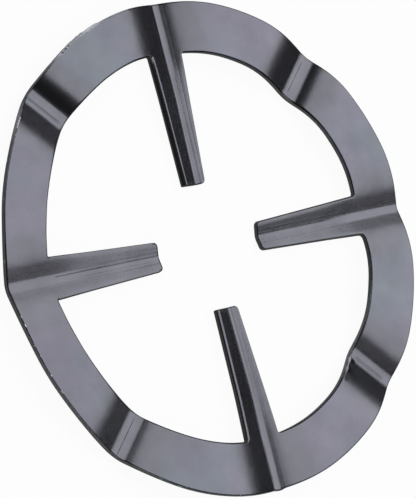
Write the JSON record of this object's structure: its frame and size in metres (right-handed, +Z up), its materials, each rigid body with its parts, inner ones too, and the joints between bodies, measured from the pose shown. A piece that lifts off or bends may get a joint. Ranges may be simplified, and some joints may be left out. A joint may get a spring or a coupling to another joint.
{
  "type": "gas hob reducer ring",
  "caption": "Pressed sheet-steel ring with tapered fingers pointing inwards and V ribs across it, laid over a gas burner's pan support so that a small pot can stand there.",
  "frame": {"origin": "centre of the rim, on the surface that the undersides of the finger tips rest on", "axes": "+Z up, square to the flat of the ring, out of the hollow side of the ribs; +X along one finger, from the centre outwards"},
  "size_m": [0.13, 0.13, 0.0054],
  "materials": {
    "enamelled_steel": "dark grey satin enamel, thin and bare along the cut edges"
  },
  "bodies": {
    "root": {"reducer_ring": "enamelled_steel"}
  },
  "joints": []
}
